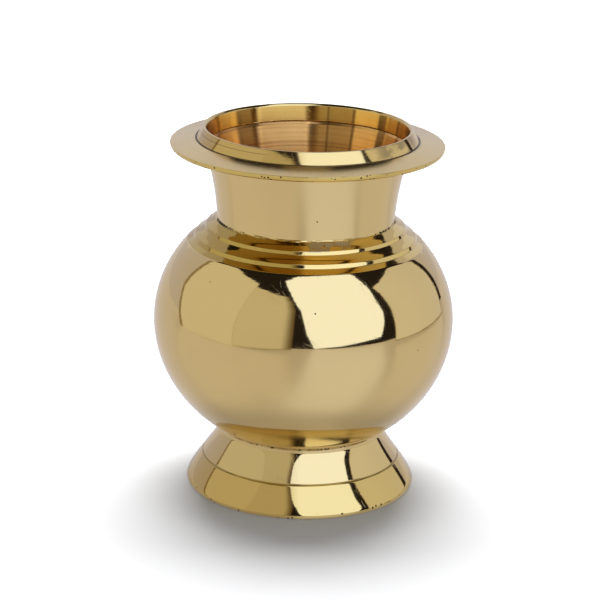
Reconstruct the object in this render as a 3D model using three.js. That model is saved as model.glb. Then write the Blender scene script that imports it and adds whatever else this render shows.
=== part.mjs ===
// Kalash: a small open brass pot on a flared foot, built up from turned rings and shells that are
// brazed together. Millimetres, +Z up. The origin is the centre of the foot's rim, on the surface
// that the pot stands on. Every outline below is a half section, given as radius and height, and
// each group has its own zero height: the belly its widest ring, the neck its seat on the
// shoulder, the mouth the neck's top end, and the foot the ground.

import * as THREE from 'three';

// Facets round the pot, the same on every piece so that neighbours line up
const SEGMENTS = 48;

// Fits between the pieces
const SLIP_CLEARANCE = 0.1;
const BRAZE_GAP = 0.05;

// Belly: a lower and an upper shell that meet at the widest ring
const BELLY_RADIUS = 40;
const BELLY_DROP = 35.6;
const BELLY_RISE = 34.3;
const SHELL_WALL = 1.5;
const FLOOR_THICKNESS = 2.2;
const LAP_HEIGHT = 2;
const LAP_WALL = 0.7;

// Steps turned on the shoulder, from the neck outwards
const NECK_SEAT_MARGIN = 0.5;
const NECK_SEAT_THICKNESS = 0.9;
const UPPER_LEDGE_WIDTH = 2.3;
const UPPER_LEDGE_SLOPE = THREE.MathUtils.degToRad(36.5);
const UPPER_STEP_HEIGHT = 0.85;
const LOWER_LEDGE_WIDTH = 2.5;
const LOWER_LEDGE_SLOPE = THREE.MathUtils.degToRad(35.5);
const LOWER_STEP_HEIGHT = 1;
const STEP_RUN = 0.4;
const BLEND_WIDTH = 1.75;
const BLEND_SLOPE = THREE.MathUtils.degToRad(29.5);

// Neck
const NECK_BASE_RADIUS = 23.5;
const NECK_HEIGHT = 20.25;
const NECK_WALL = 1.2;
const NECK_BASE_LEAN = THREE.MathUtils.degToRad(3);
const NECK_SPIGOT_HEIGHT = 1.5;
const NECK_SPIGOT_WALL = 1.1;

// Mouth ring: flange and lip
const MOUTH_RADIUS = 26.3;
const FLANGE_RADIUS = 36.1;
const FLANGE_OVERLAP = 1.3;
const FLANGE_EDGE_HEIGHT = 1.5;
const FLANGE_EDGE_UNDERCUT = 1.1;
const FLANGE_RISE = 1.05;
const COVE_WIDTH = 0.45;
const COVE_DEPTH = 0.15;
const LIP_FOOT_WALL = 2.75;
const LIP_FOOT_HEIGHT = 0.2;
const LIP_BREAK_WALL = 1.85;
const LIP_BREAK_HEIGHT = 2;
const LIP_HEIGHT = 3.15;
const LIP_LAND_WIDTH = 0.45;
const LIP_ROUND_WIDTH = 0.65;
const LIP_ROUND_HEIGHT = 0.85;
const LIP_BORE_INSET = 0.5;

// Foot
const FOOT_HEIGHT = 16.1;
const FOOT_TOP_RADIUS = 21.9;
const FOOT_TOP_WALL = 1.5;
const FOOT_COLLAR_HEIGHT = 0.9;
const FOOT_FLARE_DEPTH = 1.9;
const FOOT_BORE_DEPTH = 1.8;
const FOOT_RADIUS = 30.75;
const FOOT_EDGE_HEIGHT = 1;
const FOOT_EDGE_INSET = 0.55;
const FOOT_RIM_WIDTH = 2;
const FOOT_WALL = 2;
const FOOT_BULGE_INSET = 0.45;
const FOOT_BULGE_HEIGHT = 1.6;
const GROOVE_RADIUS = 26.5;
const GROOVE_HEIGHT = 7.9;
const GROOVE_WIDTH = 0.6;
const GROOVE_DEPTH = 0.25;

// Braze rings
const MOUTH_BRAZE_LEG = 0.5;
const NECK_BRAZE_RISE = 0.75;
const BELLY_BRAZE_HEIGHT = 2;
const BELLY_BRAZE_THICKNESS = 0.5;
const FOOT_BRAZE_WIDTH = 0.4;
const FOOT_BRAZE_HEIGHT = 0.45;

// Steps along each round stretch
const BELLY_STEPS = 12;
const FLOOR_STEPS = 6;
const NECK_STEPS = 8;
const FOOT_STEPS = 4;
const EDGE_STEPS = 4;
const ROUND_STEPS = 3;

// Radii and heights that follow from the sizes above
const innerRadius = BELLY_RADIUS - SHELL_WALL;
const innerDrop = BELLY_DROP - FLOOR_THICKNESS;
const innerRise = BELLY_RISE - SHELL_WALL;
const lapRadius = innerRadius + LAP_WALL;
const footSeatDrop = ellipseHeight(FOOT_TOP_RADIUS, BELLY_RADIUS, BELLY_DROP);
const footBoreRadius = FOOT_TOP_RADIUS - FOOT_TOP_WALL;

const neckSeatRadius = NECK_BASE_RADIUS + NECK_SEAT_MARGIN;
const upperStepRadius = neckSeatRadius + UPPER_LEDGE_WIDTH;
const lowerStepRadius = upperStepRadius + STEP_RUN + LOWER_LEDGE_WIDTH;
const blendRadius = lowerStepRadius + STEP_RUN + BLEND_WIDTH;
const blendFoot = ellipseHeight(blendRadius, BELLY_RADIUS, BELLY_RISE);
const blendTop = blendFoot + BLEND_WIDTH * Math.tan(BLEND_SLOPE);
const lowerStepTop = blendTop + LOWER_STEP_HEIGHT;
const lowerLedgeTop = lowerStepTop + LOWER_LEDGE_WIDTH * Math.tan(LOWER_LEDGE_SLOPE);
const upperStepTop = lowerLedgeTop + UPPER_STEP_HEIGHT;
const neckSeatRise = upperStepTop + UPPER_LEDGE_WIDTH * Math.tan(UPPER_LEDGE_SLOPE);
const neckTopRadius = MOUTH_RADIUS + NECK_WALL;

// Height of an ellipse above its widest ring, at a given radius
function ellipseHeight(radius, semiRadius, semiHeight) {
  return semiHeight * Math.sqrt(1 - (radius / semiRadius) ** 2);
}

// Angle above an ellipse's widest ring at which it has a given radius
function angleAtRadius(radius, semiRadius) {
  return Math.acos(radius / semiRadius);
}

// A corner of an outline
function at(radius, height) {
  return new THREE.Vector2(radius, height);
}

// Points along an ellipse, from one angle above its widest ring to another
function ellipseArc(centre, semiRadius, semiHeight, fromAngle, toAngle, steps) {
  const points = [];
  for (let i = 0; i <= steps; i++) {
    const angle = THREE.MathUtils.lerp(fromAngle, toAngle, i / steps);
    points.push(at(centre.x + semiRadius * Math.cos(angle), centre.y + semiHeight * Math.sin(angle)));
  }
  return points;
}

// Point at a given height on the straight line through two others
function onLine(start, end, height) {
  return start.clone().lerp(end, (height - start.y) / (end.y - start.y));
}

// Outer wall of the neck: a soft curve that leaves its seat nearly upright and flares to the mouth
function neckCurve() {
  const base = at(NECK_BASE_RADIUS, 0);
  const bend = at(NECK_BASE_RADIUS + (NECK_HEIGHT / 2) * Math.tan(NECK_BASE_LEAN), NECK_HEIGHT / 2);
  return new THREE.QuadraticBezierCurve(base, bend, at(neckTopRadius, NECK_HEIGHT));
}

// Turns an outline about the axis. The outline of a hollow ring ends where it starts, and that of
// a shell with a floor starts and ends on the axis.
function turned(name, color, roughness, outline) {
  const geometry = new THREE.LatheGeometry(outline, SEGMENTS);
  geometry.rotateX(Math.PI / 2);
  const mesh = new THREE.Mesh(geometry, new THREE.MeshStandardMaterial({ color, roughness, metalness: 1 }));
  mesh.name = name;
  return mesh;
}

function turnedRing(name, color, roughness, corners) {
  return turned(name, color, roughness, [...corners, corners[0]]);
}

// Lip and flange, with a counterbore that drops over the neck's top end
function mouthRing() {
  const boreRadius = neckTopRadius + SLIP_CLEARANCE;
  const edgeTop = FLANGE_EDGE_HEIGHT - FLANGE_OVERLAP;
  const flangeTop = edgeTop + FLANGE_RISE;
  const coveFloor = flangeTop - COVE_DEPTH;
  const lipFootRadius = MOUTH_RADIUS + LIP_FOOT_WALL;
  const crest = flangeTop + LIP_HEIGHT;
  const edgeCentre = at(FLANGE_RADIUS - FLANGE_EDGE_UNDERCUT, edgeTop);
  const roundCentre = at(MOUTH_RADIUS + LIP_ROUND_WIDTH, crest - LIP_ROUND_HEIGHT);
  return turnedRing('mouth_ring', 0xc8b080, 0.2, [
    at(boreRadius, -FLANGE_OVERLAP),
    ...ellipseArc(edgeCentre, FLANGE_EDGE_UNDERCUT, FLANGE_EDGE_HEIGHT, -Math.PI / 2, 0, EDGE_STEPS),
    at(lipFootRadius + COVE_WIDTH, flangeTop),
    at(lipFootRadius + COVE_WIDTH * 0.7, coveFloor),
    at(lipFootRadius + COVE_WIDTH * 0.2, coveFloor),
    at(lipFootRadius, flangeTop + LIP_FOOT_HEIGHT),
    at(MOUTH_RADIUS + LIP_BREAK_WALL, flangeTop + LIP_BREAK_HEIGHT),
    at(roundCentre.x + LIP_LAND_WIDTH, crest),
    ...ellipseArc(roundCentre, LIP_ROUND_WIDTH, LIP_ROUND_HEIGHT, Math.PI / 2, Math.PI, ROUND_STEPS),
    at(MOUTH_RADIUS - LIP_BORE_INSET, 0),
    at(boreRadius, 0),
  ]);
}

// Filler in the bevel at the neck's top end, flush with the mouth's wall
function mouthBraze() {
  const slantGap = BRAZE_GAP * Math.SQRT2;
  const width = MOUTH_BRAZE_LEG - BRAZE_GAP - slantGap;
  return turnedRing('mouth_braze', 0x8f7246, 0.5, [
    at(MOUTH_RADIUS, -BRAZE_GAP - width),
    at(MOUTH_RADIUS + width, -BRAZE_GAP),
    at(MOUTH_RADIUS, -BRAZE_GAP),
  ]);
}

// Waisted tube, with the inner edge of its top end bevelled for the filler
function neckTube() {
  const wall = neckCurve().getPoints(NECK_STEPS);
  const bore = wall.slice(0, -1).map((point) => at(point.x - NECK_WALL, point.y)).reverse();
  return turnedRing('neck_tube', 0xb99a5a, 0.16, [
    ...wall,
    at(MOUTH_RADIUS + MOUTH_BRAZE_LEG, NECK_HEIGHT),
    at(MOUTH_RADIUS, NECK_HEIGHT - MOUTH_BRAZE_LEG),
    ...bore,
  ]);
}

// Fillet of filler in the corner between the neck and the land that it stands on
function neckBraze() {
  const back = neckCurve().getPoint(NECK_BRAZE_RISE / NECK_HEIGHT).x + BRAZE_GAP;
  return turnedRing('neck_braze', 0xa39373, 0.5, [
    at(NECK_BASE_RADIUS + BRAZE_GAP, BRAZE_GAP),
    at(neckSeatRadius - BRAZE_GAP, BRAZE_GAP),
    at(back + BRAZE_GAP, NECK_BRAZE_RISE),
    at(back, NECK_BRAZE_RISE),
  ]);
}

// Upper half of the belly, its two turned steps, and the low spigot that centres the neck. Under
// the steps the inside is a cone that follows them up to the opening.
function shoulder() {
  const centre = at(0, 0);
  const spigotRadius = NECK_BASE_RADIUS - NECK_WALL - SLIP_CLEARANCE;
  const openingRadius = spigotRadius - NECK_SPIGOT_WALL;
  const spigotTop = neckSeatRise + NECK_SPIGOT_HEIGHT;
  const rebateRadius = lapRadius + SLIP_CLEARANCE;
  const rebateTop = LAP_HEIGHT + SLIP_CLEARANCE;
  const outerEnd = angleAtRadius(blendRadius, BELLY_RADIUS);
  const innerStart = angleAtRadius(blendRadius - SHELL_WALL, innerRadius);
  const innerEnd = Math.asin(rebateTop / innerRise);
  return turnedRing('shoulder', 0xbfa265, 0.13, [
    at(rebateRadius, 0),
    ...ellipseArc(centre, BELLY_RADIUS, BELLY_RISE, 0, outerEnd, BELLY_STEPS),
    at(lowerStepRadius + STEP_RUN, blendTop),
    at(lowerStepRadius, lowerStepTop),
    at(upperStepRadius + STEP_RUN, lowerLedgeTop),
    at(upperStepRadius, upperStepTop),
    at(neckSeatRadius, neckSeatRise),
    at(spigotRadius, neckSeatRise),
    at(spigotRadius, spigotTop),
    at(openingRadius, spigotTop),
    at(openingRadius, neckSeatRise - NECK_SEAT_THICKNESS),
    ...ellipseArc(centre, innerRadius, innerRise, innerStart, innerEnd, BELLY_STEPS),
    at(rebateRadius, rebateTop),
  ]);
}

// Lower half of the belly, with the lap that fits the upper half and a seat cut for the foot
function bowl() {
  const centre = at(0, 0);
  const spigotRadius = footBoreRadius - SLIP_CLEARANCE;
  const spigotEnd = angleAtRadius(spigotRadius, BELLY_RADIUS);
  const seatEnd = angleAtRadius(FOOT_TOP_RADIUS, BELLY_RADIUS);
  return turned('bowl', 0xbba56f, 0.13, [
    ...ellipseArc(centre, BELLY_RADIUS, BELLY_DROP, -Math.PI / 2, -spigotEnd, FLOOR_STEPS),
    at(spigotRadius, -footSeatDrop),
    ...ellipseArc(centre, BELLY_RADIUS, BELLY_DROP, -seatEnd, 0, BELLY_STEPS),
    at(lapRadius, 0),
    at(lapRadius, LAP_HEIGHT),
    at(innerRadius, LAP_HEIGHT),
    ...ellipseArc(centre, innerRadius, innerDrop, 0, -Math.PI / 2, BELLY_STEPS + FLOOR_STEPS),
  ]);
}

// Low bead of filler inside the belly, over the end of the lap
function bellyBraze() {
  const half = BELLY_BRAZE_HEIGHT / 2;
  const topAngle = Math.asin((LAP_HEIGHT + half) / innerRise);
  const back = innerRadius * Math.cos(topAngle) - BRAZE_GAP;
  return turnedRing('belly_braze', 0x8f7246, 0.5, [
    at(back, LAP_HEIGHT - half),
    at(back, LAP_HEIGHT + half),
    at(back - BELLY_BRAZE_THICKNESS, LAP_HEIGHT),
  ]);
}

// Hollow foot: rolled bottom edge, a lower part that bulges up to the groove, and an upper part
// that flares down to it from the collar
function foot() {
  const edgeCentre = at(FOOT_RADIUS - FOOT_EDGE_INSET, FOOT_EDGE_HEIGHT);
  const edgeTop = at(FOOT_RADIUS, FOOT_EDGE_HEIGHT);
  const middle = at(GROOVE_RADIUS, GROOVE_HEIGHT);
  const collarFoot = at(FOOT_TOP_RADIUS, FOOT_HEIGHT - FOOT_COLLAR_HEIGHT);
  const grooveFoot = onLine(edgeTop, middle, GROOVE_HEIGHT - GROOVE_WIDTH / 2);
  const grooveTop = onLine(middle, collarFoot, GROOVE_HEIGHT + GROOVE_WIDTH / 2);
  const bulgeBend = at(FOOT_RADIUS - FOOT_BULGE_INSET, FOOT_EDGE_HEIGHT + FOOT_BULGE_HEIGHT);
  const flareBend = at(FOOT_TOP_RADIUS, FOOT_HEIGHT - FOOT_FLARE_DEPTH);
  return turnedRing('foot', 0xc4ab72, 0.15, [
    at(edgeCentre.x - FOOT_RIM_WIDTH, 0),
    ...ellipseArc(edgeCentre, FOOT_EDGE_INSET, FOOT_EDGE_HEIGHT, -Math.PI / 2, 0, EDGE_STEPS),
    ...new THREE.QuadraticBezierCurve(edgeTop, bulgeBend, grooveFoot).getPoints(FOOT_STEPS).slice(1),
    at(GROOVE_RADIUS - GROOVE_DEPTH, GROOVE_HEIGHT),
    ...new THREE.QuadraticBezierCurve(grooveTop, flareBend, collarFoot).getPoints(FOOT_STEPS),
    at(FOOT_TOP_RADIUS, FOOT_HEIGHT),
    at(footBoreRadius, FOOT_HEIGHT),
    at(footBoreRadius, FOOT_HEIGHT - FOOT_BORE_DEPTH),
    at(GROOVE_RADIUS - FOOT_WALL, GROOVE_HEIGHT),
  ]);
}

// Thin line of filler in the corner between the belly's underside and the foot's collar
function footBraze() {
  const back = FOOT_TOP_RADIUS + BRAZE_GAP;
  const front = back + FOOT_BRAZE_WIDTH;
  const underBelly = FOOT_HEIGHT + footSeatDrop - 2 * BRAZE_GAP;
  return turnedRing('foot_braze', 0x6f5a3c, 0.55, [
    at(back, FOOT_HEIGHT - FOOT_BRAZE_HEIGHT),
    at(front, underBelly - ellipseHeight(front, BELLY_RADIUS, BELLY_DROP)),
    at(back, underBelly - ellipseHeight(back, BELLY_RADIUS, BELLY_DROP)),
  ]);
}

// The foot carries the belly, the belly's shoulder the neck, and the neck the mouth
const mouthGroup = new THREE.Group();
mouthGroup.position.z = NECK_HEIGHT;
mouthGroup.add(mouthRing(), mouthBraze());

const neckGroup = new THREE.Group();
neckGroup.position.z = neckSeatRise;
neckGroup.add(neckTube(), neckBraze(), mouthGroup);

const bellyGroup = new THREE.Group();
bellyGroup.position.z = FOOT_HEIGHT + footSeatDrop;
bellyGroup.add(bowl(), shoulder(), bellyBraze(), neckGroup);

const kalash = new THREE.Group();
kalash.add(foot(), footBraze(), bellyGroup);

export default kalash;
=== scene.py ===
"""Look of a small brass kalash: turned and polished pieces, brazed seams, and a plain studio."""

import logging
import math
from collections.abc import Callable, Sequence
from dataclasses import dataclass, field
from enum import Enum
from typing import Any

import bpy
import numpy as np
from mathutils import Matrix


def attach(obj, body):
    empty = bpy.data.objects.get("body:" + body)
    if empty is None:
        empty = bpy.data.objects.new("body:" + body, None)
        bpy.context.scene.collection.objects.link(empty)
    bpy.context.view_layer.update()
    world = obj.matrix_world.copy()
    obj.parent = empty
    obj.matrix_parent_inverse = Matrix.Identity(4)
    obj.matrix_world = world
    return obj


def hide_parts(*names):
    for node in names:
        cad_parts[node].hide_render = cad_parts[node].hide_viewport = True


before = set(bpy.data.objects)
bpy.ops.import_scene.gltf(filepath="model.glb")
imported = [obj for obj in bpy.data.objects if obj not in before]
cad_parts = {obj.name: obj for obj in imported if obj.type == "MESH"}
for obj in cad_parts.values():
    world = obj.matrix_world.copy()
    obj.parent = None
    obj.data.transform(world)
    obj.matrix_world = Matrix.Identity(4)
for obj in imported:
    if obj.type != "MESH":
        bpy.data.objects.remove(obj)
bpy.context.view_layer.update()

LOG = logging.getLogger("kalash")

MM = 0.001
FACETS = 288
ROUND_STEPS = 5
ARC = ROUND_STEPS + 1  # points of one rounded corner
SAME_POINT = 1e-5
SHARP_BEND = math.radians(3.0)
SHARP_EDGE = math.radians(32.0)
DRUM_RADIUS = 35.0
TURNED, EDGE, ACROSS = "turned", "edge", "across"

Points = np.ndarray
Pair = tuple[float, float]
Triple = tuple[float, float, float]
Colour = Triple
Materials = dict["Finish", bpy.types.Material]
Ripple = Callable[[np.ndarray, np.ndarray], tuple[np.ndarray, np.ndarray]]


# Outlines, in millimetres of radius and height


def corners(*pairs: Sequence[float]) -> Points:
    """Corner points given one by one, as an array of radius and height."""
    return np.array(pairs, float)


def ellipse_height(radius: float, semi_radius: float, semi_height: float) -> float:
    """Height above the widest ring: semi height times the root of 1 - (r / R) squared."""
    return semi_height * math.sqrt(1 - (radius / semi_radius) ** 2)


def ellipse_arc(centre: Pair, semi: Pair, angles: Pair, steps: int) -> Points:
    """Points along an ellipse: centre plus the semi axes times the cosine and sine of the angle.

    Args:
        centre: Radius and height of the ellipse's centre.
        semi: Its semi axes along the radius and the height.
        angles: First and last angle above the widest ring, in radians.
        steps: Number of stretches.

    Returns:
        An array of radius and height. The points crowd together towards the widest ring, so that
        two shells that meet there share one smooth surface.
    """
    share = np.linspace(0.0, 1.0, steps + 1)
    start, end = angles
    if start == 0.0:
        share = share**1.5
    elif end == 0.0:
        share = 1 - (1 - share) ** 1.5
    angle = start + (end - start) * share
    return np.array(centre) + np.array(semi) * np.column_stack([np.cos(angle), np.sin(angle)])


def bezier(start: Points, bend: Points, end: Points, steps: int) -> Points:
    """Quadratic curve: (1-t)^2 of the start, 2t(1-t) of the bend and t^2 of the end."""
    t = np.linspace(0.0, 1.0, steps + 1)[:, None]
    return (1 - t) ** 2 * np.array(start) + 2 * t * (1 - t) * np.array(bend) + t**2 * np.array(end)


def rounded(points: Points, radii: Sequence[float], steps: int = ROUND_STEPS) -> Points:
    """Replaces each inner corner of an open line by a tangent arc.

    The arc is written as the quadratic curve from the tangent point before the corner to the one
    after it, with the corner as its bend. Each tangent point lies radius times the tangent of half
    the turn from the corner, but never past the middle of a side.

    Args:
        points: The line's corner points.
        radii: One radius for each inner corner.
        steps: Stretches along each arc.

    Returns:
        The line with its arcs.
    """
    before, corner, after = points[:-2], points[1:-1], points[2:]
    back, ahead = before - corner, after - corner
    back_length, ahead_length = (np.linalg.norm(side, axis=1) for side in (back, ahead))
    back /= back_length[:, None]
    ahead /= ahead_length[:, None]
    half_turn = (math.pi - np.arccos(np.clip((back * ahead).sum(axis=1), -1.0, 1.0))) / 2
    most = np.minimum(back_length, ahead_length) / 2.02
    reach = np.minimum(np.array(radii) * np.tan(half_turn), most)[:, None]
    entry, leave = corner + back * reach, corner + ahead * reach
    arcs = bezier(entry[:, None], corner[:, None], leave[:, None], steps)
    return np.vstack([points[:1], arcs.reshape(-1, 2), points[-1:]])


def with_supports(points: Points, spacing: float = 0.9, margin: float = 0.04) -> Points:
    """Adds points along each long side, and one close to each end where the line bends sharply.

    The points near the bends keep the shading of a small round from spreading over the flat beside
    it. Shares of each side run from 0 to 1, and the whole line is read off by linear interpolation.

    Args:
        points: The line's points.
        spacing: Greatest distance between neighbours, in millimetres.
        margin: Distance of the extra point from a bend, in millimetres.

    Returns:
        The line with the added points.
    """
    sides = np.diff(points, axis=0)
    lengths = np.linalg.norm(sides, axis=1)
    at = np.concatenate([[0.0], np.cumsum(lengths)])
    heading = np.unwrap(np.arctan2(sides[:, 1], sides[:, 0]))
    bends = np.concatenate([[True], np.abs(np.diff(heading)) > SHARP_BEND, [True]])
    stations = [at]
    for side, (start, length) in enumerate(zip(at[:-1], lengths)):
        stations.append(start + np.linspace(0.0, length, math.ceil(length / spacing) + 1)[1:-1])
        if length > 4 * margin:
            ends = np.array([margin, length - margin])
            stations.append(start + ends[bends[side : side + 2]])
    where = np.unique(np.concatenate(stations).round(6))
    return np.column_stack([np.interp(where, at, points[:, 0]), np.interp(where, at, points[:, 1])])


class Finish(Enum):
    """The finishes on the pot's surfaces."""

    POLISHED = "polished_brass"
    FLANGE = "flange_brass"
    LIP = "lip_brass"
    CREST = "lip_crest_brass"
    FLARE = "foot_flare_brass"
    EDGE = "flange_edge_brass"
    LEDGE = "ledge_brass"
    GROOVE = "groove_brass_painted_shade"
    COVE = "cove_painted_shade"
    UNDERSIDE = "flange_underside_brass"
    COLLAR = "foot_collar_brass"
    UNDER_BELLY = "under_belly_brass"
    BORE = "bored_brass"
    HOLLOW = "foot_hollow_brass"
    LIP_BORE = "lip_bore_brass"
    FILLER = "braze_filler"
    NECK_SEAM = "neck_seam_filler"
    MOUTH_SEAM = "mouth_seam_filler"
    FOOT_SEAM = "foot_seam_filler"


@dataclass
class Stretch:
    """One stretch of an outline, with its finish.

    Attributes:
        points: Radius and height of its points, in millimetres.
        finish: The finish that it is given.
        edge: How much it is an edge that takes knocks, from 0 to 1.
    """

    points: Points
    finish: Finish = Finish.POLISHED
    edge: float = 0.0


@dataclass
class Outline:
    """Half section of a turned piece, as stretches that follow one another.

    Attributes:
        stretches: The stretches, outside first and upwards, so that faces point outwards.
        closed: Whether the last stretch ends where the first one starts. If not, both ends lie on
            the axis.
        start_along: Distance along the outline of its first point from the piece's zero, used by
            the finishes.
        points: All points in one line.
        finishes: The finish of each side between two points.
        edges: The edge share of each point.
    """

    stretches: list[Stretch]
    closed: bool = True
    start_along: float = 0.0
    points: Points = field(init=False)
    finishes: list[Finish] = field(init=False)
    edges: Points = field(init=False)

    def __post_init__(self) -> None:
        """Joins the stretches, and leaves out points that fall together."""
        first = self.stretches[0]
        points, finishes, edges = [first.points[:1]], [], [[first.edge]]
        for stretch in self.stretches:
            line = with_supports(np.vstack([points[-1][-1:], stretch.points]))
            line = line[1:][np.linalg.norm(np.diff(line, axis=0), axis=1) > SAME_POINT]
            points.append(line)
            finishes += [stretch.finish] * len(line)
            edges.append([stretch.edge] * len(line))
        if self.closed:
            points.append(points[0])
            finishes.append(stretch.finish)
            edges.append(edges[0])
        self.points, self.finishes, self.edges = np.vstack(points), finishes, np.concatenate(edges)

    def along(self) -> Points:
        """Distance of each point along the outline, in millimetres."""
        lengths = np.linalg.norm(np.diff(self.points, axis=0), axis=1)
        return self.start_along + np.concatenate([[0.0], np.cumsum(lengths)])


# Meshes


def around(radius: np.ndarray, height: np.ndarray, angle: np.ndarray) -> Points:
    """The points (r sin a, -r cos a, h) of a grid, one in each row."""
    parts = radius * np.sin(angle), -radius * np.cos(angle), height
    return np.stack(parts, axis=2).reshape(-1, 3)


def ring_faces(lower: np.ndarray, upper: np.ndarray) -> list[list[int]]:
    """Four-sided faces between rings of point numbers: each with its neighbour, below and above."""
    after = np.roll(lower, -1, axis=1), np.roll(upper, -1, axis=1)
    return np.stack([lower, *after, upper], axis=2).reshape(-1, 4).tolist()


def add_object(name: str, data: bpy.types.ID) -> bpy.types.Object:
    """Makes an object for a mesh, lamp or camera, and links it to the scene.

    Args:
        name: The object's name.
        data: Its mesh, lamp or camera.

    Returns:
        The object, at the origin.
    """
    made = bpy.data.objects.new(name, data)
    bpy.context.scene.collection.objects.link(made)
    return made


def add_mesh(
    name: str, points: Points, faces: list[list[int]], materials: Sequence[bpy.types.Material]
) -> bpy.types.Object:
    """Puts points and faces into a mesh, and makes its object.

    Args:
        name: Name of the mesh and of its object.
        points: The points, in metres.
        faces: The point numbers of each face.
        materials: The mesh's materials, in the order of their slots.

    Returns:
        The object, at the origin.
    """
    mesh = bpy.data.meshes.new(name)
    mesh.from_pydata(points.tolist(), [], faces)
    for material in materials:
        mesh.materials.append(material)
    mesh.update()
    return add_object(name, mesh)


def set_attribute(mesh: bpy.types.Mesh, name: str, values: np.ndarray) -> None:
    """Gives each point of a mesh a number, or a vector where the values are in rows."""
    kind, part = ("FLOAT_VECTOR", "vector") if values.ndim == 2 else ("FLOAT", "value")
    mesh.attributes.new(name, kind, "POINT").data.foreach_set(part, values.ravel())


def revolve(
    name: str, outline: Outline, materials: Materials, ripple: Ripple | None = None
) -> bpy.types.Object:
    """Turns an outline about the axis into a mesh.

    The surface is (r sin a, -r cos a, h) for each outline point (r, h) and each angle a. A ripple
    adds its own change of radius and height, worked out from the angles and the outline's points.
    Points on the axis become one point with a fan of triangles. The attribute for the turned lines
    holds the same angles on a straight drum, with the distance along the outline as its height.

    Args:
        name: Name of the piece.
        outline: Its half section.
        materials: The built finishes.
        ripple: Gives the change of radius and of height on the grid of points, or None.

    Returns:
        The piece's object, at the origin.
    """
    line, along, edges = outline.points, outline.along(), outline.edges
    part = slice(0, -1) if outline.closed else slice(1, -1)
    angle = np.linspace(0.0, 2 * math.pi, FACETS, endpoint=False)[None, :]
    radius, height, distance, edge = (
        np.repeat(column[part, None], FACETS, axis=1) for column in (*line.T, along, edges)
    )
    if ripple is not None:
        out, up = ripple(angle, line[part])
        radius, height = radius + out, height + up
    grid = around(radius, height, angle)
    drum = around(np.full_like(radius, DRUM_RADIUS), distance, angle)
    edge = edge.ravel()

    index = np.arange(len(grid)).reshape(-1, FACETS)
    slots = list(dict.fromkeys(outline.finishes))
    numbers = np.array([slots.index(finish) for finish in outline.finishes], np.int32)
    if outline.closed:
        faces = ring_faces(index, np.roll(index, -1, axis=0))
        face_slots = np.repeat(numbers, FACETS)
    else:
        faces = ring_faces(index[:-1], index[1:])
        tips = np.repeat([len(grid), len(grid) + 1], FACETS).reshape(2, -1)
        faces += np.column_stack([tips[0], np.roll(index[0], -1), index[0]]).tolist()
        faces += np.column_stack([tips[1], index[-1], np.roll(index[-1], -1)]).tolist()
        face_slots = np.repeat(np.concatenate([numbers[1:-1], numbers[[0, -1]]]), FACETS)
        grid = np.vstack([grid, [[0, 0, line[0, 1]], [0, 0, line[-1, 1]]]])
        drum = np.vstack([drum, [[0, 0, along[0]], [0, 0, along[-1]]]])
        edge = np.concatenate([edge, edges[[0, -1]]])

    piece = add_mesh(name, grid * MM, faces, [materials[slot] for slot in slots])
    mesh = piece.data
    mesh.polygons.foreach_set("material_index", face_slots)
    mesh.polygons.foreach_set("use_smooth", np.ones(len(faces), bool))
    set_attribute(mesh, TURNED, drum * MM)
    set_attribute(mesh, EDGE, edge)
    mesh.set_sharp_from_angle(angle=SHARP_EDGE)
    mesh.update()
    return piece


# Shader graphs


class Wire:
    """A node's output socket, with the arithmetic that the finishes use."""

    def __init__(self, graph: "Graph", source: Any) -> None:
        """Keeps the socket, and the graph that it belongs to."""
        self.graph = graph
        self.source = source

    def __add__(self, other: Any) -> "Wire":
        """Sum."""
        return self.graph.maths("ADD", self, other)

    __radd__ = __add__

    def __mul__(self, other: Any) -> "Wire":
        """Product."""
        return self.graph.maths("MULTIPLY", self, other)

    __rmul__ = __mul__

    def __sub__(self, other: Any) -> "Wire":
        """Difference."""
        return self.graph.maths("SUBTRACT", self, other)

    def __rsub__(self, other: Any) -> "Wire":
        """Difference from a plain number."""
        return self.graph.maths("SUBTRACT", other, self)

    def __gt__(self, limit: Any) -> "Wire":
        """1 where the value is over the limit, else 0."""
        return self.graph.maths("GREATER_THAN", self, limit)

    def __lt__(self, limit: Any) -> "Wire":
        """1 where the value is under the limit, else 0."""
        return self.graph.maths("LESS_THAN", self, limit)

    def __neg__(self) -> "Wire":
        """The value with its sign changed."""
        return self * -1.0

    def __abs__(self) -> "Wire":
        """Size without sign."""
        return self.graph.maths("ABSOLUTE", self)

    def ramp(self, low: float, high: float) -> "Wire":
        """A smooth step.

        Args:
            low: The value at which it is 0.
            high: The value at which it is 1. If it is under the other, the step falls.

        Returns:
            The step, between 0 and 1.
        """
        falls = float(low > high)
        inputs = {0: self, 1: min(low, high), 2: max(low, high), 3: falls, 4: 1.0 - falls}
        settings = {"interpolation_type": "SMOOTHSTEP"}
        return self.graph.node("ShaderNodeMapRange", settings, inputs)

    def window(self, rise: Pair, fall: Pair) -> "Wire":
        """A rising step times a falling one, each given as for ramp."""
        return self.ramp(*rise) * self.ramp(*fall)


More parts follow.
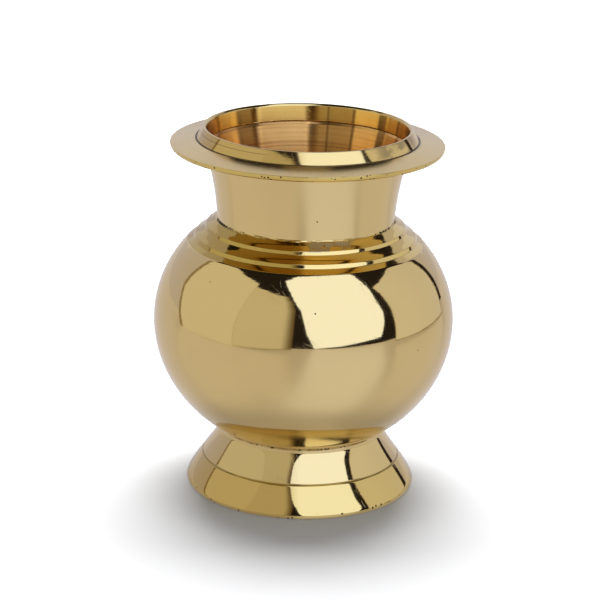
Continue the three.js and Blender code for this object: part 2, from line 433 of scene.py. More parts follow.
class Graph:
    """Builds the node tree of a material or of the world."""

    def __init__(self, owner: bpy.types.Material | bpy.types.World) -> None:
        """Gives the owner an empty tree.

        Args:
            owner: The material or the world that the tree is for.
        """
        owner.use_nodes = True
        self.tree = owner.node_tree
        self.tree.nodes.clear()

    def node(
        self,
        kind: str,
        settings: dict[str, Any] | None = None,
        inputs: dict[Any, Any] | None = None,
        output: int | str = 0,
    ) -> Wire:
        """Adds a node.

        Args:
            kind: The node's type.
            settings: Its properties, set before its sockets.
            inputs: Values or wires for its input sockets, by place or name.
            output: The output socket that is wanted.

        Returns:
            A wire from that output.
        """
        made = self.tree.nodes.new(kind)
        for key, value in (settings or {}).items():
            setattr(made, key, value)
        for key, value in (inputs or {}).items():
            self._connect(made.inputs[key], value)
        return Wire(self, made.outputs[output] if len(made.outputs) else made)

    def _connect(self, socket: bpy.types.NodeSocket, value: Any) -> None:
        """Links a wire to a socket, or sets the socket's own value.

        Args:
            socket: The input socket.
            value: A wire, a number, a vector, or a colour of three parts.
        """
        if isinstance(value, Wire):
            self.tree.links.new(value.source, socket)
        else:
            socket.default_value = (*value, 1.0) if socket.type == "RGBA" else value

    def maths(self, operation: str, *values: Any) -> Wire:
        """A Math node over the given values."""
        return self.node("ShaderNodeMath", {"operation": operation}, dict(enumerate(values)))

    def place(self) -> Wire:
        """The place on the piece, in metres: Object coordinates."""
        return self.node("ShaderNodeTexCoord", output="Object")

    def attribute(self, name: str, output: str) -> Wire:
        """One of the piece's own attributes."""
        return self.node("ShaderNodeAttribute", {"attribute_name": name}, output=output)

    def axes(self, vector: Wire) -> tuple[Wire, Wire, Wire]:
        """The three parts of a vector."""
        sockets = self.node("ShaderNodeSeparateXYZ", {}, {0: vector}).source.node.outputs
        return Wire(self, sockets[0]), Wire(self, sockets[1]), Wire(self, sockets[2])

    def polar(self, vector: Wire, front: bool = True) -> tuple[Wire, Wire]:
        """Angle and radius of a place about the pot's axis.

        Args:
            vector: The place.
            front: Whether the angle starts at the pot's front, or else at its back.

        Returns:
            The angle, as the arc tangent of x and y, in radians, which rises to the right, and the
            root of x squared plus y squared.
        """
        x, y, _ = self.axes(vector)
        angle = self.maths("ARCTAN2", x, -y if front else y)
        return angle, self.maths("SQRT", x * x + y * y)

    def scaled(self, vector: Wire, scale: Triple, offset: Triple = (0.0, 0.0, 0.0)) -> Wire:
        """A vector times a scale, plus an offset."""
        inputs = {0: vector, 1: scale, 2: offset}
        return self.node("ShaderNodeVectorMath", {"operation": "MULTIPLY_ADD"}, inputs)

    def turned_by(self, vector: Wire, angles: Triple) -> Wire:
        """A vector turned about the origin by three angles in radians."""
        inputs = {"Vector": vector, "Rotation": angles}
        return self.node("ShaderNodeVectorRotate", {"rotation_type": "EULER_XYZ"}, inputs)

    def noise(
        self, vector: Wire, scale: float, detail: float = 2.0, roughness: float = 0.5
    ) -> Wire:
        """A noise value, about 0.5 on average."""
        inputs = {"Vector": vector, "Scale": scale, "Detail": detail, "Roughness": roughness}
        return self.node("ShaderNodeTexNoise", {}, inputs)

    def cells(self, vector: Wire, scale: float) -> tuple[Wire, Wire]:
        """Many scattered points.

        Args:
            vector: The place.
            scale: How many there are per metre.

        Returns:
            Distance to the nearest point, and a random value for that point.
        """
        inputs = {"Vector": vector, "Scale": scale}
        distance = self.node("ShaderNodeTexVoronoi", {}, inputs, "Distance")
        colour = Wire(self, distance.source.node.outputs["Color"])
        return distance, self.node("ShaderNodeSeparateColor", {}, {0: colour}, "Red")

    def mix(self, factor: Any, first: Any, second: Any) -> Wire:
        """A colour between two others, by the Mix node's sockets for colours."""
        inputs = {0: factor, 6: first, 7: second}
        return self.node("ShaderNodeMix", {"data_type": "RGBA"}, inputs, 2)

    def glow(self, colour: Any, strength: Any = 1.0) -> Wire:
        """An Emission shader."""
        return self.node("ShaderNodeEmission", {}, {"Color": colour, "Strength": strength})

    def both(self, first: Wire, second: Wire) -> Wire:
        """Two shaders added together."""
        return self.node("ShaderNodeAddShader", {}, {0: first, 1: second})

    def ray(self, kind: str) -> Wire:
        """1 for rays of one kind, such as Is Camera Ray, else 0."""
        return self.node("ShaderNodeLightPath", output=kind)

    def surface(self, shader: Wire, output: str = "ShaderNodeOutputMaterial") -> None:
        """Makes a shader the one that is seen."""
        self.node(output, {}, {"Surface": shader})

    def metal(self, colour: Wire, roughness: Wire, relief: Wire, brushed: float = 0.0) -> None:
        """Makes bare metal the surface.

        Args:
            colour: Its colour.
            roughness: Its roughness.
            relief: Height of its fine relief, in millimetres.
            brushed: Stretch of the gloss across the tool lines, from 0 to 1.
        """
        bump = {"Strength": 1.0, "Distance": MM, "Height": relief}
        inputs = {
            "Base Color": colour,
            "Metallic": 1.0,
            "Roughness": roughness,
            "Normal": self.node("ShaderNodeBump", {}, bump, "Normal"),
            "Anisotropic": brushed,
            "Anisotropic Rotation": 0.25,
        }
        self.surface(self.node("ShaderNodeBsdfPrincipled", {}, inputs))


# Finishes

EVEN = (1.0, 1.0, 1.0)
LINE_SWEEP = 9.0  # how often a tool line changes on its way round, per metre of the drum
STAIN_SWEEP = 5.0
WAVES = 42.0  # scales of the slow waves and of the tarnish, per metre
PATCHES = 34.0
DULL = (0.45, 0.72)  # values of the patches' noise where the tarnish begins and is full
BROAD_PITCH = 2.2  # the broad tool lines' spacing and depth, as shares of the fine ones'
BROAD_DEPTH = 1.6
STAIN_PITCH = 2.5
STAINED = (0.48, 0.66)
SHADE = (0.0005, -0.003)  # where the painted shade on the pot's left side begins, in metres to the right

# Hairline scratches: a stretched noise, and for each family how it is turned and shifted
HAIR_STRETCH = (900.0, 55.0, 55.0)
HAIR_PATCHES = 210.0
HAIRY = (0.56, 0.66)
HAIR_FAMILIES = (((0.5, 0.9, 0.3), 2.0), ((1.2, -0.4, 0.8), 5.0))
HAIR_ROUGHNESS = 0.06

PIT_DEPTH = 0.05
PIT_RIM = (0.5, 0.18)  # radii where a pit begins and is full, in sizes
PIT_ROUGHNESS = 0.4
PIT_DIRT = (0.05, 0.03, 0.015)
PIT_EDGE_SHARE = 0.3  # how many more places have a pit along a knocked edge

# Painted shade in the mouth, as upright dark bands: first and last angle from the back and
# softness, in degrees, and strength
PAINTED_BAND_COLOUR = (0.10, 0.035, 0.01)
PAINTED_BAND_FOOT = (0.074, 0.084)
PAINTED_SHADE_BANDS = (
    (-68.0, -65.5, 1.0, 0.3),
    (-47.5, -31.5, 2.0, 0.62),
    (-30.0, -1.0, 2.0, 0.36),
    (1.0, 29.0, 1.2, 0.42),
    (11.2, 12.6, 0.6, 0.3),
    (27.0, 29.0, 0.7, 0.35),
    (46.3, 52.7, 0.8, 0.62),
    (64.4, 67.0, 0.8, 0.5),
)

# Turned marks on the mouth ring: radius and half width in millimetres, first and last angle from
# the front in degrees, and strength
MARK_COLOUR = (0.09, 0.05, 0.015)
MARK_CORE = 0.3
MARK_FADE = 0.15
MARKS = (
    (28.12, 0.07, -125.0, -18.0, 0.55),
    (31.9, 0.06, -78.0, -53.0, 0.35),
    (31.9, 0.05, -104.0, -90.0, 0.3),
    (31.3, 0.05, -106.0, -95.0, 0.25),
    (29.85, 0.07, 58.0, 108.0, 0.55),
)

# The smudge on the lip: angles from the front in radians, and the radius that it ends at in metres
SMUDGE_COLOUR = (0.24, 0.175, 0.09)
SMUDGE_ANGLES = ((0.55, 0.8), (1.45, 1.2))
SMUDGE_RADIUS = 0.0292
SMUDGE_STRENGTH = 0.7
SMUDGE_GRAIN = 190.0
SMUDGED = (0.38, 0.6)

# The solder's film in front of the neck: its reach to the right, ahead and up, in metres
FILM_COLOUR = (0.44, 0.38, 0.27)
FILM_ROUGHNESS = 0.35
FILM_GRAIN = 300.0
FILMED = (0.44, 0.53)
FILM_ACROSS = ((-0.001, 0.002), (0.0135, 0.0105))
FILM_AHEAD = (-0.005, -0.012)
FILM_UP = (0.0714, 0.0719)

# Filler: its slow swells, how softly its dirt ends, and the front, a little to the right, where
# less of it is dark, in metres
SWELL_SCALE = 75.0
SWELL_SHARE = 1.1
DIRT_EDGE = (-0.08, 0.06)
DIRT_ROUGHNESS = 0.4
FRONT_ACROSS = (-0.011, -0.002)
FRONT_AHEAD = (-0.014, -0.02)


@dataclass(frozen=True)
class BrassFinish:
    """Polished or turned brass. Lengths are in millimetres.

    Attributes:
        colour: Colour of clean metal, linear.
        tarnish: Colour of the faint tarnish in patches.
        tarnish_share: How much of it there is.
        roughness: Roughness of clean metal.
        haze: Roughness added in patches.
        line_depth: Depth of the tool lines that run round the pot.
        line_pitch: Their spacing.
        line_stain: How dark the deepest lines are.
        wave_depth: Depth of the slow waves left by polishing.
        scratch_depth: Depth of the hairline scratches.
        scratch_share: How many there are, as the width of the noise band that makes them.
        brushed: Stretch of the gloss across the tool lines, from 0 to 1.
        pit_spacing: Spacing of the places where pits may lie.
        pit_size: Width of the largest pits.
        pit_share: Share of places that have a pit.
        film: Strength of the grey film left by the solder beside the neck, from 0 to 1.
        painted_bands: Whether upright bands of painted shade darken the mouth.
        marks: Whether it carries the mouth ring's turned marks and its smudge.
        painted_shade: Colour of the painted shade on the pot's left side, or None.
    """

    colour: Colour = (0.735, 0.555, 0.245)
    tarnish: Colour = (0.60, 0.42, 0.20)
    tarnish_share: float = 0.12
    roughness: float = 0.055
    haze: float = 0.03
    line_depth: float = 0.0036
    line_pitch: float = 0.55
    line_stain: float = 0.0
    wave_depth: float = 0.018
    scratch_depth: float = 0.0022
    scratch_share: float = 0.006
    brushed: float = 0.0
    pit_spacing: float = 3.0
    pit_size: float = 0.24
    pit_share: float = 0.05
    film: float = 0.0
    painted_bands: bool = False
    marks: bool = False
    painted_shade: Colour | None = None

    def build(self, name: str) -> bpy.types.Material:
        """Makes the material.

        Args:
            name: The material's name.

        Returns:
            The finished material.
        """
        material = bpy.data.materials.new(name)
        graph = Graph(material)
        place, turned = graph.place(), graph.attribute(TURNED, "Vector")
        patches = graph.noise(graph.scaled(place, EVEN, (0.3, 0.1, 0.7)), PATCHES, 4.0, 0.6)
        dull = patches.ramp(*DULL)
        hairs, pits = self._hairs(place), self._pits(place)
        relief = self._turning(place, turned) - hairs * self.scratch_depth - pits * PIT_DEPTH
        tint = graph.mix(pits, self._tint(place, turned, dull), PIT_DIRT)
        roughness = self.roughness + dull * self.haze + hairs * HAIR_ROUGHNESS
        roughness = roughness + pits * PIT_ROUGHNESS
        # Painted shade: dark upright bands in the mouth
        if self.painted_bands:
            tint = graph.mix(self._painted_bands(place), tint, PAINTED_BAND_COLOUR)
        if self.marks:
            tint = graph.mix(self._smudge(place), tint, SMUDGE_COLOUR)
            tint = graph.mix(self._marks(place), tint, MARK_COLOUR)
        if self.film:
            solder = self._film(place) * self.film
            tint = graph.mix(solder, tint, FILM_COLOUR)
            roughness = roughness + solder * FILM_ROUGHNESS
        graph.metal(tint, roughness, relief, self.brushed)
        return material

    def _turning(self, place: Wire, turned: Wire) -> Wire:
        """Relief left by turning and polishing: noises stretched round the pot, and slow waves.

        Args:
            place: The place on the piece.
            turned: The place on the straight drum.

        Returns:
            The relief's height, in millimetres.
        """
        graph = place.graph
        fine = 1.0 / (self.line_pitch * MM)
        lines = graph.noise(graph.scaled(turned, (LINE_SWEEP, LINE_SWEEP, fine)), 1.0, 3.0, 0.6)
        stretch = (LINE_SWEEP, LINE_SWEEP, fine / BROAD_PITCH)
        broad = graph.noise(graph.scaled(turned, stretch, (3.1, 0.0, 7.7)), 1.0, 1.0)
        wave = graph.noise(graph.scaled(place, (1.0, 1.0, 1.6)), WAVES, 1.0)
        tooled = lines * self.line_depth + broad * (self.line_depth * BROAD_DEPTH)
        return tooled + wave * self.wave_depth

    def _tint(self, place: Wire, turned: Wire, dull: Wire) -> Wire:
        """Colour of the metal with its tarnish, the stain in its lines, and the painted shade on
        its left.

        Args:
            place: The place on the piece.
            turned: The place on the straight drum.
            dull: The mask of the tarnished patches.

        Returns:
            The colour.
        """
        graph = place.graph
        tint = graph.mix(dull * self.tarnish_share, self.colour, self.tarnish)
        if self.line_stain:
            stretch = (STAIN_SWEEP, STAIN_SWEEP, 1.0 / (self.line_pitch * MM) / STAIN_PITCH)
            stain = graph.noise(graph.scaled(turned, stretch, (1.0, 2.0, 3.0)), 1.0, 4.0, 0.7)
            tint = graph.mix(stain.ramp(*STAINED) * self.line_stain, tint, self.tarnish)
        # Painted shade: the pot's left side gets a darker colour
        if self.painted_shade:
            tint = graph.mix(graph.axes(place)[0].ramp(*SHADE), tint, self.painted_shade)
        return tint

    def _hairs(self, place: Wire) -> Wire:
        """Hairline scratches: thin bands where a stretched noise crosses its middle.

        Args:
            place: The place on the piece.

        Returns:
            The mask of both families of scratches.
        """
        graph = place.graph
        families = []
        for turn, shift in HAIR_FAMILIES:
            lay = graph.scaled(graph.turned_by(place, turn), HAIR_STRETCH, (shift, shift, shift))
            band = abs(graph.noise(lay, 1.0, 0.0) - 0.5).ramp(self.scratch_share, 0.0)
            some = graph.noise(graph.scaled(place, EVEN, (shift, 0.0, 0.0)), HAIR_PATCHES, 0.0)
            families.append(band * some.ramp(*HAIRY))
        return families[0] + families[1]

    def _pits(self, place: Wire) -> Wire:
        """Small pits: round spots about scattered points, more of them along the knocked edges.

        Args:
            place: The place on the piece.

        Returns:
            The pits' mask.
        """
        graph = place.graph
        distance, pick = graph.cells(place, 1.0 / (self.pit_spacing * MM))
        size = self.pit_size / self.pit_spacing
        spots = (distance - pick * size * PIT_RIM[0]).ramp(size * PIT_RIM[0], size * PIT_RIM[1])
        share = graph.attribute(EDGE, "Fac") * PIT_EDGE_SHARE + self.pit_share
        return spots * (pick > (1.0 - share))

    def _painted_bands(self, place: Wire) -> Wire:
        """Upright bands of painted shade: soft bands round given angles, fading out down the neck.

        Args:
            place: The place on the piece.

        Returns:
            The mask of the painted shade.
        """
        angle, _ = place.graph.polar(place, front=False)
        total: Any = 0.0
        for *degrees, strength in PAINTED_SHADE_BANDS:
            first, last, soft = (math.radians(part) for part in degrees)
            band = angle.window((first - soft, first + soft), (last + soft, last - soft))
            total = total + band * strength
        return total * place.graph.axes(place)[2].ramp(*PAINTED_BAND_FOOT)

    def _marks(self, place: Wire) -> Wire:
        """Turned marks: thin rings of given radius, each over its own range of angles.

        Args:
            place: The place on the piece.

        Returns:
            The marks' mask.
        """
        angle, radius = place.graph.polar(place)
        total: Any = 0.0
        for at, half, first, last, strength in MARKS:
            line = abs(radius - at * MM).ramp(half * MM, half * MARK_CORE * MM)
            first, last = math.radians(first), math.radians(last)
            reach = angle.window((first, first + MARK_FADE), (last, last - MARK_FADE))
            total = total + line * reach * strength
        return total

    def _smudge(self, place: Wire) -> Wire:
        """A smudge on the right of the lip: a window of angle and radius, broken by a noise.

        Args:
            place: The place on the piece.

        Returns:
            The smudge's mask.
        """
        graph = place.graph
        angle, radius = graph.polar(place)
        stretched = graph.scaled(place, (1.0, 1.0, 2.0), (0.4, 0.0, 0.1))
        broken = graph.noise(stretched, SMUDGE_GRAIN, 3.0)
        window = angle.window(*SMUDGE_ANGLES) * (radius < SMUDGE_RADIUS)
        return window * broken.ramp(*SMUDGED) * SMUDGE_STRENGTH

    def _film(self, place: Wire) -> Wire:
        """Solder film: broken patches in front of the neck, a little to the right.

        Args:
            place: The place on the piece.

        Returns:
            The film's mask.
        """
        graph = place.graph
        x, y, z = graph.axes(place)
        broken = graph.noise(graph.scaled(place, (1.0, 1.0, 1.8)), FILM_GRAIN, 4.0, 0.6)
        window = x.window(*FILM_ACROSS) * y.ramp(*FILM_AHEAD)
        return window * z.ramp(*FILM_UP) * broken.ramp(*FILMED)


@dataclass(frozen=True)
class FillerFinish:
    """Braze filler left rough in a seam.

    Attributes:
        colour: Colour of its clean crests.
        dirt: Colour in its pits.
        dirt_share: Height of the noise, from 0 to 1, below which the dirt lies.
        roughness: Roughness of the crests.
        grain: Size of its lumps, in millimetres.
        depth: Their depth, in millimetres.
        lighter_front: How much less of the filler is dark in front of the pot, a little to the
            right.
    """

    colour: Colour = (0.52, 0.38, 0.17)
    dirt: Colour = (0.07, 0.045, 0.02)
    dirt_share: float = 0.5
    roughness: float = 0.3
    grain: float = 1.1
    depth: float = 0.09
    lighter_front: float = 0.0

    def build(self, name: str) -> bpy.types.Material:
        """Makes the material.

        Args:
            name: The material's name.

        Returns:
            The finished material.
        """
        material = bpy.data.materials.new(name)
        graph = Graph(material)
        place = graph.place()
        lumps = graph.noise(place, 1.0 / (self.grain * MM), 4.0, 0.65)
        broad = graph.noise(place, SWELL_SCALE, 1.0) - 0.5
        x, y, _ = graph.axes(place)
        # Less of the filler is dark in front of the pot, a little to the right
        front = x.ramp(*FRONT_ACROSS) * y.ramp(*FRONT_AHEAD) * self.lighter_front
        height = lumps + front - broad * SWELL_SHARE
        clean = height.ramp(*(self.dirt_share + reach for reach in DIRT_EDGE))
        tint = graph.mix(clean, self.dirt, self.colour)
        graph.metal(tint, self.roughness + (1.0 - clean) * DIRT_ROUGHNESS, lumps * self.depth)
        return material


# painted_shade gives a finish a darker colour on the pot's left side: painted shade
FINISHES: dict[Finish, BrassFinish | FillerFinish] = {
    Finish.POLISHED: BrassFinish(),
    Finish.FLANGE: BrassFinish(
        colour=(0.735, 0.54, 0.21), roughness=0.2, haze=0.04, pit_share=0.03, marks=True
    ),
    Finish.LIP: BrassFinish(
        colour=(0.735, 0.54, 0.21), roughness=0.07, haze=0.04, marks=True,
        painted_shade=(0.605, 0.42, 0.145)
    ),
    # Crest: the lip's brass a little darker, as painted shade along the crest
    Finish.CREST: BrassFinish(colour=(0.68, 0.50, 0.19), roughness=0.1, haze=0.05),
    # Underside: lighter and yellower than the polished brass, painted light for what the ledges
    # mirror, with painted shade on the left
    Finish.UNDERSIDE: BrassFinish(
        colour=(0.83, 0.66, 0.28), roughness=0.2, line_depth=0.003, painted_shade=(0.58, 0.40, 0.12)
    ),
    Finish.COLLAR: BrassFinish(painted_shade=(0.64, 0.475, 0.205)),
    Finish.FLARE: BrassFinish(
        colour=(0.70, 0.52, 0.19), tarnish_share=0.2, pit_size=0.4, pit_share=0.001,
        pit_spacing=1.3, painted_shade=(0.575, 0.40, 0.135)
    ),
    Finish.EDGE: BrassFinish(
        colour=(0.70, 0.51, 0.15), roughness=0.12, haze=0.1, pit_size=0.32, pit_share=0.0,
        pit_spacing=0.8
    ),
    Finish.LEDGE: BrassFinish(
        colour=(0.76, 0.56, 0.20), roughness=0.07, tarnish_share=0.3, film=0.85,
        painted_shade=(0.53, 0.365, 0.095)
    ),
    # Groove: turned brass given a dark colour, painted shade in the groove
    Finish.GROOVE: BrassFinish(
        colour=(0.40, 0.28, 0.08), roughness=0.18, haze=0.1, tarnish=(0.2, 0.13, 0.06)
    ),
    # Cove: a nearly black colour, painted shade in the corner at the lip's foot
    Finish.COVE: BrassFinish(
        colour=(0.13, 0.085, 0.035), roughness=0.25, haze=0.1, tarnish=(0.05, 0.03, 0.01)
    ),
    Finish.BORE: BrassFinish(
        colour=(0.87, 0.50, 0.15), tarnish=(0.48, 0.22, 0.07), tarnish_share=0.3, roughness=0.2,
        haze=0.04, line_depth=0.005, line_pitch=0.5, line_stain=0.7, wave_depth=0.012,
        brushed=1.0, painted_bands=True
    ),
    Finish.HOLLOW: BrassFinish(
        colour=(0.70, 0.50, 0.19), roughness=0.3, line_depth=0.005, line_stain=0.4, brushed=1.0
    ),
    Finish.UNDER_BELLY: BrassFinish(colour=(0.735, 0.57, 0.23), roughness=0.14, haze=0.02),
    Finish.LIP_BORE: BrassFinish(
        colour=(0.86, 0.53, 0.125), tarnish=(0.5, 0.28, 0.07), roughness=0.16, line_depth=0.003,
        line_stain=0.3, brushed=1.0, painted_bands=True
    ),
    Finish.FILLER: FillerFinish(),
    Finish.NECK_SEAM: FillerFinish(
        colour=(0.74, 0.57, 0.23), dirt_share=0.42, roughness=0.2, depth=0.06, lighter_front=0.3
    ),
    Finish.MOUTH_SEAM: FillerFinish(
        colour=(0.9, 0.58, 0.2), dirt=(0.42, 0.22, 0.06), dirt_share=0.3, roughness=0.2
    ),
    Finish.FOOT_SEAM: FillerFinish(colour=(0.62, 0.46, 0.2), dirt_share=0.4, grain=1.4),
}


# The pot's pieces, with their sizes in millimetres and degrees


@dataclass
class TurnedPiece:
    """A piece of the pot that stands for one node of the solid model.

    Attributes:
        node: The node's name.
        slot: Its material slot in the record. Not used.
    """

    node: str
    slot: str = "polished_brass"

    def outline(self) -> Outline:
        """The piece's half section."""
        raise NotImplementedError

    def ripple(self) -> Ripple | None:
        """Unevenness round the piece, or None."""
        return None

    def build(self, materials: Materials) -> bpy.types.Object:
        """Makes the piece, and puts it in its node's place.

        Args:
            materials: The built finishes.

        Returns:
            The piece's object.
        """
        piece = revolve(self.node + "_turned", self.outline(), materials, self.ripple())
        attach(piece, "root")
        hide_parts(self.node)
        LOG.info("%s: %d faces", piece.name, len(piece.data.polygons))
        return piece


@dataclass
class Belly:
    """Sizes that the belly's two halves and the pieces on them share."""

    radius: float = 40.0
    drop: float = 35.6
    rise: float = 34.3
    wall: float = 1.5
    floor: float = 2.2
    lap_height: float = 2.0
    lap_wall: float = 0.7
    clearance: float = 0.1
    foot_height: float = 16.1
    foot_top_radius: float = 21.9
    foot_top_wall: float = 1.5
    neck_base_radius: float = 23.5
    neck_wall: float = 1.2
    neck_height: float = 20.25
    mouth_radius: float = 26.3
    seat_margin: float = 0.5
    seat_thickness: float = 0.9
    upper_ledge: Pair = (2.3, 36.5)
    lower_ledge: Pair = (2.5, 35.5)
    blend: Pair = (1.75, 29.5)
    upper_step: float = 0.85
    lower_step: float = 1.0
    step_run: float = 0.4

    @property
    def centre(self) -> float:
        """Height of the widest ring."""
        return self.foot_height + ellipse_height(self.foot_top_radius, self.radius, self.drop)

    @property
    def steps(self) -> Points:
        """Corners of the shoulder's steps.

        Each ledge and the blend rise by their width times the tangent of their slope.

        Returns:
            Radius and height, from the belly up to the neck's seat.
        """
        rises = [
            width * math.tan(math.radians(slope))
            for width, slope in (self.blend, self.lower_ledge, self.upper_ledge)
        ]
        seat = self.neck_base_radius + self.seat_margin
        upper = seat + self.upper_ledge[0]
        lower = upper + self.step_run + self.lower_ledge[0]
        outer = lower + self.step_run + self.blend[0]
        radii = outer, lower + self.step_run, lower, upper + self.step_run, upper, seat
        climbs = rises[0], self.lower_step, rises[1], self.upper_step, rises[2]
        foot = self.centre + ellipse_height(outer, self.radius, self.rise)
        return np.column_stack([radii, np.cumsum([foot, *climbs])])

    @property
    def seat_height(self) -> float:
        """Height of the neck's seat."""
        return float(self.steps[-1, 1])

    @property
    def neck_top(self) -> float:
        """Height of the neck's upper end."""
        return self.seat_height + self.neck_height


BELLY = Belly()


@dataclass
class Shoulder(TurnedPiece):
    """Upper half of the belly, with its two turned steps and the neck's seat."""

    node: str = "shoulder"
    spigot_height: float = 1.5
    spigot_wall: float = 1.1
    step_rounds: tuple[float, ...] = (2.2, 0.4, 0.35, 9.0, 0.35, 0.35, 9.0, 0.1)
    ledge_sag: float = 0.1

    def _stepped(self, lead: Points, end: Pair) -> Points:
        """The steps' line, with its corners rounded and the middle of each ledge hollowed a little.

        The middle of a ledge is half the sum of its ends, less the sag along the ledge's normal.

        Args:
            lead: The point before the steps.
            end: The point after them.

        Returns:
            The line, with one arc for each corner and each middle.
        """
        steps = BELLY.steps
        low, high = steps[[2, 4]], steps[[3, 5]]
        normal = (high - low)[:, ::-1] * (1.0, -1.0)
        normal /= np.linalg.norm(normal, axis=1)[:, None]
        middles = (high + low) / 2 - normal * self.ledge_sag
        line = np.insert(steps, [3, 5], middles, axis=0)
        return rounded(np.vstack([lead, line, end]), self.step_rounds)

    def outline(self) -> Outline:
        """The belly's upper ellipse, the steps, the spigot and the inside.

        Returns:
            The half section.
        """
        b = BELLY
        centre, first_step = (0.0, b.centre), b.steps[0, 0]
        inner = (b.radius - b.wall, b.rise - b.wall)
        rebate_radius = inner[0] + b.lap_wall + b.clearance
        rebate_top = b.lap_height + b.clearance
        spigot = b.neck_base_radius - b.neck_wall - b.clearance
        opening = spigot - self.spigot_wall
        top = b.seat_height + self.spigot_height
        outer = ellipse_arc(centre, (b.radius, b.rise), (0.0, math.acos(first_step / b.radius)), 96)
        blend, steps = np.split(self._stepped(outer[-2], (spigot, b.seat_height))[1:], [ARC])
        neck_side = corners((spigot, b.seat_height), (spigot, top), (opening, top))
        inner_ends = (math.acos((first_step - b.wall) / inner[0]), math.asin(rebate_top / inner[1]))
        inside = ellipse_arc(centre, inner, inner_ends, 40)
        under = corners((opening, b.seat_height - b.seat_thickness))
        rebate = corners((rebate_radius, b.centre + rebate_top), (rebate_radius, b.centre))
        return Outline(
            [
                Stretch(np.vstack([outer[:-2], blend])),
                Stretch(steps, Finish.LEDGE),
                Stretch(neck_side, Finish.BORE),
                Stretch(np.vstack([under, inside]), Finish.BORE),
                Stretch(rebate, Finish.BORE),
            ]
        )


@dataclass
class Bowl(TurnedPiece):
    """Lower half of the belly, polished less well just above the foot."""

    node: str = "bowl"
    duller_height: float = 8.0

    def outline(self) -> Outline:
        """The belly's lower ellipse with the foot's seat, the lap, and the inside.

        Returns:
            The half section, which starts and ends on the axis.
        """
        b = BELLY
        centre, semi = (0.0, b.centre), (b.radius, b.drop)
        spigot = b.foot_top_radius - b.foot_top_wall - b.clearance
        inner = (b.radius - b.wall, b.drop - b.floor)
        lap, lap_top = inner[0] + b.lap_wall, b.centre + b.lap_height
        under = ellipse_arc(centre, semi, (-math.pi / 2, -math.acos(spigot / b.radius)), 14)
        outer = ellipse_arc(centre, semi, (-math.acos(b.foot_top_radius / b.radius), 0.0), 110)
        inside = ellipse_arc(centre, inner, (0.0, -math.pi / 2), 48)
        inside[-1, 0] = under[0, 0] = 0.0
        seat = corners((spigot, b.foot_height))
        joint = corners((lap, b.centre), (lap, lap_top), (inner[0], lap_top))
        low = outer[:, 1] < b.foot_height + self.duller_height
        sides = np.diff(np.vstack([under, seat, outer]), axis=0)
        return Outline(
            [
                Stretch(under, Finish.HOLLOW),
                Stretch(np.vstack([seat, outer[low]]), Finish.UNDER_BELLY),
                Stretch(outer[~low]),
                Stretch(joint, Finish.BORE),
                Stretch(inside, Finish.BORE),
            ],
            closed=False,
            start_along=-float(np.linalg.norm(sides, axis=1).sum()),
        )


@dataclass
class NeckTube(TurnedPiece):
    """Waisted tube between the shoulder and the mouth ring."""

    node: str = "neck_tube"
    lean: float = 3.0
    bevel: float = 0.5

    def outline(self) -> Outline:
        """A soft curve up the outside, the bevel at the top, and the same curve down the bore.

        Returns:
            The half section.
        """
        b = BELLY
        base, middle, top = b.seat_height, b.seat_height + b.neck_height / 2, b.neck_top
        bend = b.neck_base_radius + b.neck_height / 2 * math.tan(math.radians(self.lean))
        ends = (b.neck_base_radius, base), (b.mouth_radius + b.neck_wall, top)
        outer = bezier(ends[0], (bend, middle), ends[1], 36)
        bevel = corners((b.mouth_radius + self.bevel, top), (b.mouth_radius, top - self.bevel))
        bore = np.vstack([bevel, outer[:-2][::-1] - (b.neck_wall, 0.0)])
        return Outline([Stretch(outer), Stretch(bore, Finish.BORE)], start_along=60.0)


